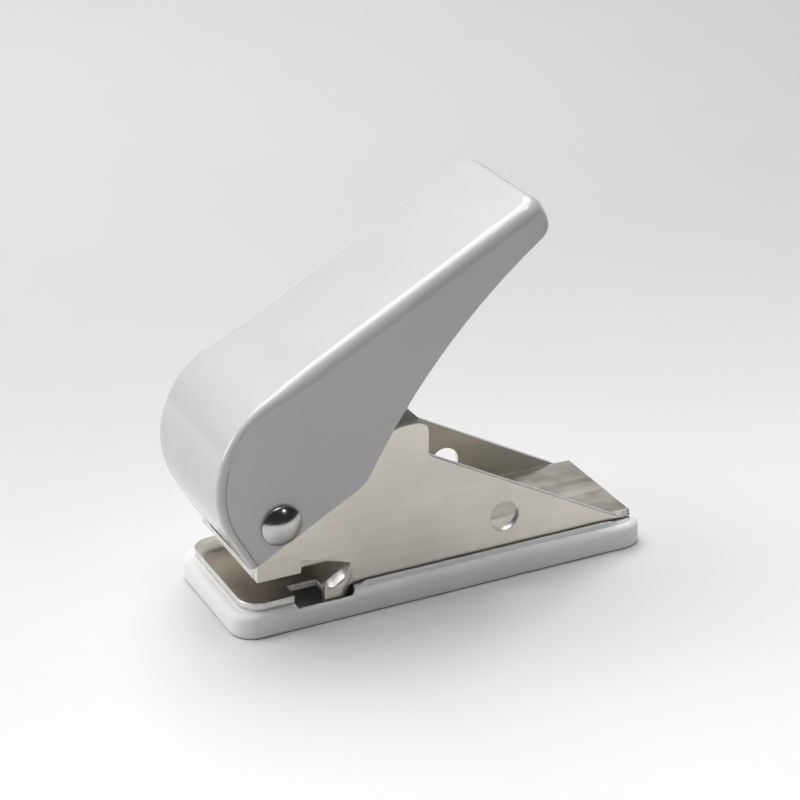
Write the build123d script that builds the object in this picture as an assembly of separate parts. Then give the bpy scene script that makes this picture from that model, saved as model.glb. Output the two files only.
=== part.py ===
from build123d import *
from math import acos, atan2, cos, degrees, radians, sin, tan
import os

# Single-hole hand punch: a plated steel chassis on a plastic foot, with a pressed steel lever.
# Millimetres. +X is the rear, +Y the far side, +Z up. The origin is the centre of the foot's underside.

# ---- Driving dimensions ----

# Plastic foot
foot_length = 98.8
foot_width = 35.2
foot_corner = 5.4
foot_rim_top = 5.5
foot_skin = 1.4
foot_wall = 3.8
seat_height = 5.85
seat_width = 1.8
rim_round = 1.6
underside_round = 0.8

# Folded sheet of the chassis
sheet = 1.6
cheek_outer = 15.0
bend_outer = 1.8
floor_top = seat_height + sheet
front = -49.0  # lengths along the chassis are measured from this X
tray_front = front + 2.0
tray_half_width = 15.9
tray_corner = 4.5
floor_rear = front + 96.0

# Throat, jaw and the notches beside them
jaw_front = front + 5.1
jaw_underside = 11.9
jaw_notch_start = front + 15.2
jaw_notch_top = 14.8
throat_tip = (front + 26.9, 11.7)
throat_back = (front + 20.0, 8.2)
relief_start = front + 13.3
relief_half_width = 11.4
knee_half_width = 16.25
knee_lip_half_width = 16.9
knee_rear = front + 24.3
knee_foot = front + 27.2
knee_bottom = 3.2
knee_lip = 8.6
rim_notch_floor = 4.5
rim_notch_rear = front + 27.6
rim_notch_wall = 1.0

# Cheeks behind the pivot
ear_top = 41.1
ear_rear = front + 45.0
ear_front = front + 38.5
ear_round = 2.8
slope_top = 33.0
slope_foot = front + 91.5
bridge_front = front + 37.0
bridge_rear = front + 43.9
cheek_hole = (front + 63.4, 14.1)
cheek_hole_radius = 3.5

# Lever, drawn level with the pivot at its own origin
pivot_x = front + 10.2
pivot_z = 25.2
lever_tilt = 28.5
lever_travel = 43.0
lever_half_width = 16.5
lever_wall = 1.25
lever_nose = -10.4
lever_rear = 82.3
lever_top = 25.7
lever_foot = -5.0
lever_rear_foot = 18.3
nose_radius = 21.5
top_round = 2.0
rear_corner = 5.0
nose_notch_half_width = 5.8
nose_notch_height = 2.4

# Pivot
rivet_radius = 2.4
rivet_hole_radius = 2.5
rivet_head_radius = 4.5
rivet_head_height = 2.4
rivet_tail_radius = 3.75
rivet_tail_height = 1.5
washer_thickness = 0.8
washer_radius = 4.9
spacer_radius = 3.2
boss_radius = 7.0
head_gap = 0.1

# Punch pin and what is on it
pin_radius = 2.0
cam_arm = 7.5
pin_top_drop = 1.0
cam_gap = 0.08
pin_point = 12.2
groove_depth = 0.5
clip_thickness = 0.5
clip_drop = 1.2
clip_radius = 3.4
spring_washer_thickness = 0.6
seat_washer_thickness = 0.5
pin_washer_radius = 3.6
spring_radius = 2.95
spring_wire = 0.3
spring_turns = 4.5
die_radius = 4.0
die_clearance = 0.06

# Guide channel between the cheeks
guide_sheet = 1.5
guide_rear = front + 23.0
guide_wall_top = 19.0
guide_gap = 0.05
guide_inner_round = 2.0
guide_outer_round = 0.7

# Press bracket inside the lever
bracket_sheet = 1.6
bracket_half_width = 6.4
bracket_boss = 4.9
bracket_top_start = 11.3
bracket_top_end = 19.5

# ---- Sizes that follow ----

cheek_inner = cheek_outer - sheet
pin_x = pivot_x + cam_arm
pin_top = pivot_z - pin_top_drop
travel_angle = radians(lever_travel)
pin_travel = cam_arm * travel_angle
jaw_top = jaw_underside + guide_sheet
clip_top = pin_top - clip_drop
spring_top = clip_top - clip_thickness - spring_washer_thickness
spring_foot = jaw_top + seat_washer_thickness
tilt = radians(lever_tilt)


# ---- Helpers ----

def rounded_face(corners):
    """Closed face in the XY plane from (x, y, radius) corners, each joined by a tangent arc."""
    ends = []
    arcs = []
    count = len(corners)
    for i, (x, y, radius) in enumerate(corners):
        here = Vector(x, y)
        back = (Vector(*corners[i - 1][:2]) - here).normalized()
        ahead = (Vector(*corners[(i + 1) % count][:2]) - here).normalized()
        if radius == 0:
            ends.append((here, here))
            continue
        half_angle = radians(back.get_angle(ahead)) / 2
        reach = radius / tan(half_angle)
        middle = here + (back + ahead).normalized() * (radius / sin(half_angle) - radius)
        ends.append((here + back * reach, here + ahead * reach))
        arcs.append(ThreePointArc(here + back * reach, middle, here + ahead * reach))
    lines = []
    for i in range(count):
        start, end = ends[i][1], ends[(i + 1) % count][0]
        if (end - start).length > 1e-6:
            lines.append(Line(start, end))
    return make_face(Curve() + arcs + lines)


def side_extrude(face, half_width, middle=0.0):
    """Extrudes a side profile, drawn as (x, z), both ways from the plane y = middle."""
    return Pos(0, middle, 0) * extrude(Plane.XZ * face, half_width, both=True)


def plan_extrude(face, low, high):
    """Extrudes a plan outline from z = low to z = high."""
    return extrude(Pos(0, 0, low) * face, high - low)


def span_box(x, y, z):
    """Box from three (low, high) pairs."""
    middle = [(low + high) / 2 for low, high in (x, y, z)]
    size = [high - low for low, high in (x, y, z)]
    return Pos(*middle) * Box(*size)


def cross_cylinder(x, z, radius, low, high):
    """Cylinder along Y between y = low and y = high."""
    return Pos(x, (low + high) / 2, z) * Rot(90, 0, 0) * Cylinder(radius, high - low)


def upright_ring(x, outer, inner, low, high):
    """Ring on a vertical axis through (x, 0)."""
    ring = Cylinder(outer, high - low) - Cylinder(inner, high - low)
    return Pos(x, 0, (low + high) / 2) * ring


def seat_lever(shape):
    """Moves a shape from the lever's own level frame to its resting place on the pivot."""
    return Pos(pivot_x, 0, pivot_z) * Rot(0, -lever_tilt, 0) * shape


def both_sides(shape):
    """The shape and its mirror image across the middle plane."""
    return shape + mirror(shape, Plane.XZ)


# ---- Foot ----

def make_base_tray():
    """Plastic foot: a shallow tray that holds the chips, with a raised seat for the chassis floor."""
    outline = RectangleRounded(foot_length, foot_width, foot_corner)
    body = plan_extrude(outline, 0, foot_rim_top)
    body = fillet(body.edges().group_by(Axis.Z)[-1], rim_round)
    body = fillet(body.edges().group_by(Axis.Z)[0], underside_round)

    pocket_length = foot_length - 2 * foot_wall
    pocket_width = foot_width - 2 * foot_wall
    pocket = RectangleRounded(pocket_length, pocket_width, foot_corner - foot_wall)
    seat = RectangleRounded(
        pocket_length + 2 * seat_width,
        pocket_width + 2 * seat_width,
        foot_corner - foot_wall + seat_width,
    )
    body += plan_extrude(seat, foot_rim_top - 1, seat_height)
    body -= plan_extrude(pocket, foot_skin, seat_height + 1)

    # A notch in each long rim leaves a low thin wall, and the chassis's knee sits behind it.
    notch = rounded_face([
        (relief_start, rim_notch_floor, 0.8),
        (rim_notch_rear, rim_notch_floor, 0.8),
        (rim_notch_rear + 1.5, seat_height + 2, 0),
        (relief_start - 0.5, seat_height + 2, 0),
    ])
    reach = 3.0
    recess_side = foot_width / 2 - rim_notch_wall
    for side in (-1, 1):
        body -= side_extrude(notch, reach, side * (cheek_inner + reach))
        body -= span_box(
            (relief_start, rim_notch_rear),
            sorted((side * (pocket_width / 2 - 1), side * recess_side)),
            (foot_skin, seat_height + 1),
        )
    return body


# ---- Chassis ----

def folded_channel():
    """The sheet folded into a channel, before its sides are cut to shape."""
    height = ear_top + 1
    outer = Pos(0, seat_height + height / 2) * Rectangle(2 * cheek_outer, height)
    outer = fillet(outer.vertices().group_by(Axis.Y)[0], bend_outer)
    inner = Pos(0, floor_top + height / 2) * Rectangle(2 * cheek_inner, height)
    inner = fillet(inner.vertices().group_by(Axis.Y)[0], bend_outer - sheet)
    length = floor_rear - jaw_front
    return Pos(jaw_front, 0, 0) * extrude(Plane.YZ * (outer - inner), length)


def cheek_profile():
    """Side view of the chassis: jaw, throat, pivot boss, ear and sloping rear edge."""
    ear_corner = (ear_front, ear_top)
    offset = Vector(ear_corner[0] - pivot_x, ear_corner[1] - pivot_z)
    turn = atan2(offset.Y, offset.X) + acos(boss_radius / offset.length)
    boss_tangent = (pivot_x + boss_radius * cos(turn), pivot_z + boss_radius * sin(turn))
    throat_round = 0.3
    face = rounded_face([
        (jaw_front, jaw_underside, throat_round),
        (jaw_notch_start, jaw_underside, throat_round),
        (jaw_notch_start + 0.2, jaw_notch_top, throat_round),
        (*throat_tip, throat_round),
        (*throat_back, throat_round),
        (throat_back[0], seat_height - 1, 0),
        (floor_rear, seat_height - 1, 0),
        (floor_rear, floor_top, 0),
        (slope_foot, floor_top, 1.0),
        (ear_rear, slope_top, 1.0),
        (ear_rear, ear_top, ear_round),
        (*ear_corner, 3.0),
        (*boss_tangent, 0),
        (pivot_x, pivot_z, 0),
        (jaw_front, pivot_z, 0),
    ])
    return face + Pos(pivot_x, pivot_z) * Circle(boss_radius)


def tray_plate():
    """Flat front of the floor, with a relief on each side where the folds begin."""
    neck_rear = throat_back[0] + 1
    outline = [
        (tray_front, tray_half_width, tray_corner),
        (relief_start, tray_half_width, 0.5),
        (relief_start, relief_half_width, 0.5),
        (neck_rear, relief_half_width, 0),
    ]
    mirrored = [(x, -y, radius) for x, y, radius in reversed(outline)]
    return plan_extrude(rounded_face(outline + mirrored), seat_height, floor_top)


def knee():
    """Foot of the near cheek behind the throat, pushed outwards and down behind the foot's rim."""
    start = throat_back[0]
    high = throat_tip[1] + 1
    outside = rounded_face([
        (start, -knee_lip_half_width, 0.4),
        (knee_rear, -knee_lip_half_width, 1.5),
        (knee_foot, -cheek_outer + 0.2, 0),
        (knee_foot, -cheek_inner, 0),
        (start, -cheek_inner, 0),
    ])
    # Its wall stands inside the rim and flares outwards above it, to a lip.
    flare = rounded_face([
        (-cheek_inner, knee_bottom, 0),
        (-knee_half_width, knee_bottom, 0.6),
        (-knee_half_width, floor_top, 1.0),
        (-knee_lip_half_width, knee_lip - 0.3, 0),
        (-knee_lip_half_width, high, 0),
        (-cheek_inner, high, 0),
    ])
    inside = rounded_face([
        (start - 1, -knee_half_width + sheet, 0),
        (knee_rear - 0.6, -knee_half_width + sheet, 0.6),
        (knee_foot - 1.2, -cheek_inner, 0),
        (knee_foot - 1.2, -cheek_inner + 1, 0),
        (start - 1, -cheek_inner + 1, 0),
    ])
    block = plan_extrude(outside, knee_bottom, high)
    block &= Pos(start - 1, 0, 0) * extrude(Plane.YZ * flare, knee_foot - start + 2)
    block -= plan_extrude(inside, floor_top, high + 1)
    block -= plan_extrude(inside, knee_bottom - 1, seat_height)
    # Its top is cut along a plane that falls from the throat's tip, forwards and outwards.
    tip = Vector(throat_tip[0], -cheek_outer, throat_tip[1])
    back = Vector(throat_back[0], -cheek_outer, throat_back[1] - 0.2)
    lip = Vector(knee_rear, -knee_lip_half_width, knee_lip)
    normal = (back - tip).cross(lip - tip).normalized()
    if normal.Z < 0:
        normal = -normal
    return split(block, Plane(origin=tip, z_dir=normal), keep=Keep.BOTTOM)


def bridge_flange():
    """Flange folded over from the far ear, its free end against the near ear. The lever stops on it."""
    seam = 0.12
    plate = span_box(
        (bridge_front, bridge_rear),
        (-cheek_inner + seam, cheek_inner + 0.5),
        (ear_top - 0.35 - sheet, ear_top - 0.35),
    )
    corners = plate.edges().filter_by(Axis.Z).group_by(Axis.Y)[0]
    return fillet(corners, 0.6)


def make_chassis_frame():
    """Folded steel chassis: floor, cheeks, ears, knees and the flange between the ears."""
    body = folded_channel() & side_extrude(cheek_profile(), cheek_outer + 2)
    # Inside each knee the cheek's foot is pushed out, so the flat cheek is cleared there.
    for side in (-1, 1):
        body -= span_box(
            (throat_back[0] - 1, knee_foot - 1.2),
            sorted((side * (cheek_inner - 0.01), side * (knee_half_width - sheet))),
            (floor_top, throat_tip[1] + 1),
        )
    body += tray_plate()
    body += both_sides(knee())
    body += bridge_flange()
    for x, z, radius in ((*cheek_hole, cheek_hole_radius), (pivot_x, pivot_z, rivet_hole_radius)):
        body -= cross_cylinder(x, z, radius, -cheek_outer - 1, cheek_outer + 1)
    body -= Pos(pin_x, 0, floor_top - sheet / 2) * Cylinder(die_radius, 2 * sheet)
    return body


def make_die_ring():
    """Hardened ring pressed into the floor, with the hole that the pin cuts into."""
    ring = upright_ring(pin_x, die_radius, pin_radius + die_clearance, seat_height, floor_top)
    relief = Pos(pin_x, 0, seat_height) * Cylinder(pin_radius + 0.4, sheet)
    return ring - relief


def make_punch_guide():
    """Channel between the cheeks. Its floor is the upper jaw and guides the pin."""
    half = cheek_inner - guide_gap
    height = guide_wall_top - jaw_underside
    outer = Pos(0, jaw_underside + height / 2) * Rectangle(2 * half, height)
    outer = fillet(outer.vertices().group_by(Axis.Y)[0], guide_outer_round)
    inner = Pos(0, jaw_top + height / 2) * Rectangle(2 * (half - guide_sheet), height)
    inner = fillet(inner.vertices().group_by(Axis.Y)[0], guide_inner_round)
    body = Pos(jaw_front, 0, 0) * extrude(Plane.YZ * (outer - inner), guide_rear - jaw_front)
    return body - Pos(pin_x, 0, jaw_underside) * Cylinder(pin_radius + die_clearance, 4 * guide_sheet)


# ---- Punch pin ----

def make_punch_pin():
    """Hardened pin with a groove for the clip and a shallow hollow in its cutting end."""
    pin = Pos(pin_x, 0, (pin_top + pin_point) / 2) * Cylinder(pin_radius, pin_top - pin_point)
    pin = chamfer(pin.edges().group_by(Axis.Z)[-1], 0.3)
    pin -= upright_ring(
        pin_x, pin_radius + 1, pin_radius - groove_depth, clip_top - clip_thickness, clip_top
    )
    hollow_radius = 6.0
    return pin - Pos(pin_x, 0, pin_point - hollow_radius + 0.35) * Sphere(hollow_radius)


def make_retaining_clip():
    """E-clip in the pin's groove, open towards the rear."""
    low = clip_top - clip_thickness
    ring = upright_ring(pin_x, clip_radius, pin_radius - groove_depth, low, clip_top)
    mouth = span_box((pin_x, pin_x + 5), (-1.1, 1.1), (low - 1, clip_top + 1))
    ring -= mouth
    for angle in (60, 180, 300):
        window = Pos(2.4, 0) * Circle(0.45)
        ring -= plan_extrude(Pos(pin_x, 0) * Rot(0, 0, angle) * window, low - 1, clip_top + 1)
    return ring


def make_spring_washer():
    """Washer between the clip and the top of the spring."""
    high = clip_top - clip_thickness
    return upright_ring(pin_x, pin_washer_radius, pin_radius + 0.1, spring_top, high)


def make_seat_washer():
    """Washer under the foot of the spring."""
    return upright_ring(pin_x, pin_washer_radius, pin_radius + 0.15, jaw_top, spring_foot)


def make_return_spring():
    """Coil spring round the pin."""
    low = spring_foot + spring_wire
    height = spring_top - spring_foot - 2 * spring_wire
    path = Helix(pitch=height / spring_turns, height=height, radius=spring_radius)
    section = Plane(origin=path @ 0, z_dir=path % 0) * Circle(spring_wire)
    return Pos(pin_x, 0, low) * sweep(section, path, is_frenet=True)


# ---- Lever ----

def lever_side(inset, foot, belly):
    """Side view of the lever, drawn level, inset by a wall thickness. The belly lists its lower corners."""
    nose = lever_nose + inset
    top = lever_top - inset
    rear = lever_rear - inset
    return rounded_face([
        (nose, foot, 0),
        (nose, top, nose_radius - inset),
        (rear, top, max(top_round - inset, 0.5)),
        *belly,
    ])


def lever_solid(inset, foot, belly):
    """The lever's outer or inner form, with its plan corners and top edges rounded."""
    half = lever_half_width - inset
    body = side_extrude(lever_side(inset, foot, belly), half)
    plan = rounded_face([
        (lever_nose - 5, -half, 0),
        (lever_rear - inset, -half, rear_corner - inset),
        (lever_rear - inset, half, rear_corner - inset),
        (lever_nose - 5, half, 0),
    ])
    body &= plan_extrude(plan, foot - 1, lever_top + 1)
    return body


def make_lever_shell():
    """Pressed steel lever: two flanks, a rolled nose and a rear lip, open underneath."""
    belly = [
        (lever_rear, lever_rear_foot, 3.5),
        (47.4, 13.0, 140.0),
        (19.6, lever_foot, 7.0),
    ]
    outer = lever_solid(0, lever_foot, belly)
    deep = lever_foot - 10
    inner = lever_solid(lever_wall, deep, [(lever_rear - lever_wall, deep, 0)])
    shell = outer - inner
    # The nose's foot has a shallow notch in its middle.
    shell -= span_box(
        (lever_nose - 1, lever_nose + 3),
        (-nose_notch_half_width, nose_notch_half_width),
        (lever_foot - 1, lever_foot + nose_notch_height),
    )
    shell -= cross_cylinder(0, 0, rivet_hole_radius, -lever_half_width - 1, lever_half_width + 1)
    return seat_lever(shell)


def cam_point(angle):
    """Point of the cam that touches the pin when the lever has turned by angle, in the lever's frame."""
    support = pin_top_drop - cam_gap + cam_arm * angle
    turn = angle - tilt
    return Vector(
        cam_arm * cos(turn) + support * sin(turn),
        cam_arm * sin(turn) - support * cos(turn),
    )


def cam_nose():
    """Side view of the pressing nose. Its involute lower edge moves the pin evenly with the lever."""
    over = 0.06
    steps = 6
    angles = [-over + (travel_angle + 2 * over) * i / steps for i in range(steps + 1)]
    curve = [cam_point(angle) for angle in angles]
    lower = Spline(*curve)
    ridge = curve[0].Y + 2.6
    rear = curve[-1].X + 0.6
    upper = Polyline(curve[-1], (rear, curve[-1].Y + 0.8), (rear, ridge), (curve[0].X - 2.4, ridge),
                     (curve[0].X - 1.2, curve[0].Y + 0.8), curve[0])
    return make_face(Curve() + lower + upper)


def make_press_bracket():
    """Bracket under the lever's top: two webs on the pivot, joined by a flange and the pressing nose."""
    under_top = lever_top - lever_wall
    nose = cam_nose()
    middle = (bracket_top_start + bracket_top_end) / 2
    flange_face = Pos(middle, under_top - bracket_sheet / 2) * Rectangle(
        bracket_top_end - bracket_top_start, bracket_sheet
    )
    ring = Circle(bracket_boss)
    spine = rounded_face([
        (-bracket_boss, 0, 0),
        (bracket_top_start, under_top, 0),
        (bracket_top_end, under_top, 0),
        (nose.bounding_box().max.X, nose.bounding_box().max.Y, 1.0),
        (0, nose.bounding_box().max.Y - 1.2, 0),
    ])
    web = spine + ring + nose
    body = side_extrude(web, bracket_half_width)
    body -= side_extrude(web, bracket_half_width - bracket_sheet)
    body += side_extrude(flange_face, bracket_half_width)
    body += side_extrude(nose, bracket_half_width)
    body -= cross_cylinder(0, 0, spacer_radius + 0.08, -bracket_half_width, bracket_half_width)
    return seat_lever(body)


# ---- Pivot ----

def dome(radius, height):
    """Cap of a sphere standing on the XY plane."""
    ball = (radius * radius + height * height) / (2 * height)
    return (Pos(0, 0, height - ball) * Sphere(ball)) & (Pos(0, 0, ball) * Box(4 * ball, 4 * ball, 2 * ball))


def make_pivot_rivet():
    """Rivet with a domed head on the near side and a formed end over a washer on the far side."""
    near = -lever_half_width - head_gap
    far = lever_half_width + head_gap + washer_thickness
    shank = cross_cylinder(pivot_x, pivot_z, rivet_radius, near - 0.2, far + 0.2)
    head = Pos(pivot_x, near, pivot_z) * Rot(90, 0, 0) * dome(rivet_head_radius, rivet_head_height)
    tail = Pos(pivot_x, far, pivot_z) * Rot(-90, 0, 0) * dome(rivet_tail_radius, rivet_tail_height)
    return shank + head + tail


def make_rivet_washer():
    """Washer between the far flank and the rivet's formed end."""
    low = lever_half_width + head_gap
    high = low + washer_thickness
    return (cross_cylinder(pivot_x, pivot_z, washer_radius, low, high)
            - cross_cylinder(pivot_x, pivot_z, rivet_hole_radius, low - 1, high + 1))


def make_spacer_tube():
    """Tube on the rivet that keeps the cheeks apart. The bracket turns on it."""
    half = cheek_inner
    return (cross_cylinder(pivot_x, pivot_z, spacer_radius, -half, half)
            - cross_cylinder(pivot_x, pivot_z, rivet_hole_radius, -half - 1, half + 1))


parts = {
    "base_tray": make_base_tray,
    "chassis_frame": make_chassis_frame,
    "die_ring": make_die_ring,
    "punch_guide": make_punch_guide,
    "spacer_tube": make_spacer_tube,
    "pivot_rivet": make_pivot_rivet,
    "rivet_washer": make_rivet_washer,
    "lever_shell": make_lever_shell,
    "press_bracket": make_press_bracket,
    "punch_pin": make_punch_pin,
    "retaining_clip": make_retaining_clip,
    "spring_washer": make_spring_washer,
    "seat_washer": make_seat_washer,
    "return_spring": make_return_spring,
}

os.makedirs("parts", exist_ok=True)
for name, make in parts.items():
    export_step(make(), f"parts/{name}.step")
print("punch stroke", round(pin_travel, 3), "mm over", lever_travel, "degrees")
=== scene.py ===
"""Looks of a single-hole hand punch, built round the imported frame. Shapes are drawn in millimetres."""
from math import acos, atan2, ceil, cos, pi, radians, sin, tan

import bmesh
import bpy
from mathutils import Matrix, Vector


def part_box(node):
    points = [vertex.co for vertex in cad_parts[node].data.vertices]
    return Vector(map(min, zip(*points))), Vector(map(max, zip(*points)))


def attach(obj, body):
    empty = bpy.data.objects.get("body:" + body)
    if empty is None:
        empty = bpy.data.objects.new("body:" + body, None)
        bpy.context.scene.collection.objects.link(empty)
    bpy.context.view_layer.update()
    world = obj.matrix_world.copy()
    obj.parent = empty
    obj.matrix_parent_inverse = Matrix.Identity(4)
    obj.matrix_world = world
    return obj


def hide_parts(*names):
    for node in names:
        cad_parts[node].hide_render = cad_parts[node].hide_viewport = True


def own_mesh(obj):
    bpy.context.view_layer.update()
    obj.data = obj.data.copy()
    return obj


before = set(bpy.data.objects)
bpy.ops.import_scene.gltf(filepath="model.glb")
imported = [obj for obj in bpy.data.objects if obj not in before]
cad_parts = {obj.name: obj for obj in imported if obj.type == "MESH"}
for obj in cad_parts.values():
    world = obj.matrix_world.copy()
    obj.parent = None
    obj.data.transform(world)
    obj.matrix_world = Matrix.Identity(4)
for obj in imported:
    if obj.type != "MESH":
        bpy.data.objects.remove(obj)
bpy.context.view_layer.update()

MM = 0.001
FRONT = -49.0  # lengths along the chassis are measured from this X

# Foot
FOOT_HIGH = Vector(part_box("base_tray")[1]) / MM
FOOT_CORNER = 5.4
RIM_TOP = 5.5
SEAT_TOP = FOOT_HIGH.z
POCKET_WALL = 3.8
POCKET_FLOOR = 1.4
NOTCH_FRONT = FRONT + 13.3
NOTCH_REAR = FRONT + 27.6
NOTCH_TOP = 4.5
NOTCH_WALL = 1.0
CLEAR_HEIGHT = 9.0
SEAT_LIP = 0.15
BEAD_RISE = 0.8  # the bead of the seat that hugs the bend of each cheek
BEAD_INNER = 2.55
BEAD_REAR = 43.0

# Chassis sheet
SHEET = 1.6
FLOOR_LOW = 5.85
CHEEK_OUTER = 15.0
BEND_OUTER = 1.8
CUT_EDGE = 0.22
EAR_TOP = 41.1
BRIDGE_TOP = EAR_TOP - 0.35
BRIDGE_SEAM = 0.12
TRAY_HALF = 15.9
JAW_FRONT = FRONT + 5.1
JAW_UNDERSIDE = 11.9
THROAT_BACK = FRONT + 20.0
KNEE_REAR = 27.6  # from FRONT
KNEE_PUSH = 1.25
LIP_FLARE = 0.6
LIP_DROP = 1.25
SKIRT_DROP = 2.7
CHEEK_HOLE = (FRONT + 63.4, 14.1, 3.5)
PIVOT = (FRONT + 10.2, 25.2)
PIVOT_HOLE = 2.5
BOSS = 7.0
PUNCH_X = PIVOT[0] + 7.5
DIE_RADIUS = 4.0

# Lever, in its own level frame: u along it from the pivot, v up from the pivot
TILT = radians(28.5)
LEVER_HALF = 16.5
LEVER_SHEET = 1.25
LEVER_CUT = 0.3
NOSE_U = -10.4
REAR_U = 82.3
TOP_V = 25.7
FOOT_V = -5.0
NOSE_RADIUS = 21.5
PLAN_CORNER = 5.0
NOSE_EDGE = 1.4
TOP_EDGE = 3.0

# Pin, spring and what is on the pin
PIN_RADIUS = 2.0
PIN_BORE = PIN_RADIUS + 0.06
PIN_TOP = PIVOT[1] - 1.0
PIN_POINT = 12.2
CLIP_TOP = PIN_TOP - 1.2
CLIP_THICKNESS = 0.5
GUIDE_SHEET = 1.5
SPRING_TOP = CLIP_TOP - 1.1
SPRING_FOOT = JAW_UNDERSIDE + GUIDE_SHEET + 0.5


# ---- Shapes ----

def rounded(corners, closed=True, step=radians(6)):
    """Points of an outline given as (x, y, radius) corners, with an arc at each rounded one."""
    points = []
    last = len(corners) - 1
    for i, (x, y, radius) in enumerate(corners):
        here = Vector((x, y))
        if radius == 0 or (not closed and i in (0, last)):
            points.append(here)
            continue
        back = (Vector(corners[i - 1][:2]) - here).normalized()
        ahead = (Vector(corners[(i + 1) % len(corners)][:2]) - here).normalized()
        half = back.angle(ahead) / 2
        centre = here + (back + ahead).normalized() * (radius / sin(half))
        spoke = here + back * (radius / tan(half)) - centre
        sweep = pi - 2 * half
        turn = 1 if back.x * ahead.y - back.y * ahead.x < 0 else -1
        steps = max(2, ceil(sweep / step))
        for k in range(steps + 1):
            points.append(centre + Matrix.Rotation(turn * sweep * k / steps, 2) @ spoke)
    return points


def circle(x, y, radius, count=48):
    """Points of a circle."""
    return [Vector((x + radius * cos(2 * pi * k / count), y + radius * sin(2 * pi * k / count)))
            for k in range(count)]


def spread(low, high, count):
    """Evenly spaced values from low to high, both included."""
    return [low + (high - low) * k / count for k in range(count + 1)]


def ramp(value, start, end):
    """0 up to start and 1 from end on, with no kink between them. The end may be the lower one."""
    share = min(max((value - start) / (end - start), 0), 1)
    return share * share * (3 - 2 * share)


def plate(outlines, low, high, edge=CUT_EDGE):
    """Bmesh of a flat plate in the XY plane, from its outline and its holes, with rounded cut edges.

    Its cut faces take the piece's second material.
    """
    curve = bpy.data.curves.new("plate", "CURVE")
    curve.dimensions = "2D"
    curve.fill_mode = "BOTH"
    curve.extrude = (high - low) / 2 - edge
    curve.bevel_depth = edge
    curve.bevel_resolution = 3
    curve.offset = -edge
    for points in outlines:
        spline = curve.splines.new("POLY")
        spline.points.add(len(points) - 1)
        for vertex, (x, y) in zip(spline.points, points):
            vertex.co = (x, y, 0, 1)
        spline.use_cyclic_u = True
    holder = bpy.data.objects.new("plate", curve)
    bpy.context.scene.collection.objects.link(holder)
    mesh = bpy.data.meshes.new_from_object(holder.evaluated_get(bpy.context.evaluated_depsgraph_get()))
    work = bmesh.new()
    work.from_mesh(mesh)
    bpy.data.objects.remove(holder)
    bpy.data.curves.remove(curve)
    bpy.data.meshes.remove(mesh)
    bmesh.ops.remove_doubles(work, verts=work.verts, dist=1e-4)
    bmesh.ops.translate(work, verts=work.verts, vec=(0, 0, (low + high) / 2))
    for face in work.faces:
        face.normal_update()
        face.material_index = 0 if abs(face.normal.z) > 0.97 else 1
    return work


def slice_along(work, axis, values):
    """Adds edges where the planes at the given values of an axis cross the mesh."""
    normal = Vector((0, 0, 0))
    normal[axis] = 1
    for value in values:
        geometry = work.verts[:] + work.edges[:] + work.faces[:]
        bmesh.ops.bisect_plane(work, geom=geometry, dist=1e-4, plane_co=normal * value, plane_no=normal)
    bmesh.ops.dissolve_degenerate(work, dist=4e-4, edges=work.edges)


def place(work, mapping):
    """Moves every vertex to mapping(its place)."""
    for vertex in work.verts:
        vertex.co = mapping(vertex.co)
    return work


def lathe(profile, count=72):
    """Bmesh turned about Z from (radius, z) points. A point on the axis closes the end."""
    work = bmesh.new()
    rings = []
    for radius, z in profile:
        if radius == 0:
            rings.append([work.verts.new((0, 0, z))] * count)
            continue
        rings.append([work.verts.new((radius * cos(2 * pi * k / count), radius * sin(2 * pi * k / count), z))
                      for k in range(count)])
    closed = profile[0][0] != 0 and profile[-1][0] != 0
    pairs = list(zip(rings, rings[1:])) + ([(rings[-1], rings[0])] if closed else [])
    for lower, upper in pairs:
        for k in range(count):
            corners = [lower[k], lower[(k + 1) % count], upper[(k + 1) % count], upper[k]]
            unique = list(dict.fromkeys(corners))
            if len(unique) > 2:
                work.faces.new(unique)
    return work


def ring_profile(outer, inner, low, high, edge=0.12):
    """Section of a ring with softened edges, as (radius, z) points."""
    section = rounded([(outer, low, edge), (outer, high, edge), (inner, high, edge), (inner, low, edge)],
                      step=radians(30))
    return [(point.x, point.y) for point in section]


def arc_profile(radius, low, high, count=12):
    """Dome that ends on the axis at high, as (radius, z) points from its border inwards."""
    rise = high - low
    ball = (radius * radius + rise * rise) / (2 * rise)
    start = acos((ball - rise) / ball)
    return [(ball * sin(a), high - ball + ball * cos(a)) for a in spread(start, 0, count)[:-1]] + [(0, high)]


def on_pin(p):
    """From the lathe's axis to the pin's."""
    return Vector((PUNCH_X + p.x, p.y, p.z))


def across_pivot(p):
    """From the lathe's axis to the pivot's, which runs along Y."""
    return Vector((PIVOT[0] + p.x, p.z, PIVOT[1] + p.y))


def from_lever(p):
    """From the lever's level frame (u, y, v) to its resting place."""
    return Vector((
        PIVOT[0] + p.x * cos(TILT) - p.z * sin(TILT),
        p.y,
        PIVOT[1] + p.x * sin(TILT) + p.z * cos(TILT),
    ))


def bore(work, cutter):
    """Takes the cutter's volume out of a bmesh. The new faces are cut faces."""
    for face in cutter.faces:
        face.material_index = 1
    pair = []
    for part in (work, cutter):
        bmesh.ops.recalc_face_normals(part, faces=part.faces)
        mesh = bpy.data.meshes.new("bore")
        part.to_mesh(mesh)
        part.free()
        mesh.materials.append(None)
        mesh.materials.append(None)
        pair.append(bpy.data.objects.new("bore", mesh))
        bpy.context.scene.collection.objects.link(pair[-1])
    cut = pair[0].modifiers.new("bore", "BOOLEAN")
    cut.operation = "DIFFERENCE"
    cut.object = pair[1]
    result = bmesh.new()
    result.from_mesh(pair[0].evaluated_get(bpy.context.evaluated_depsgraph_get()).to_mesh())
    for part in pair:
        bpy.data.objects.remove(part)
    return result


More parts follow.
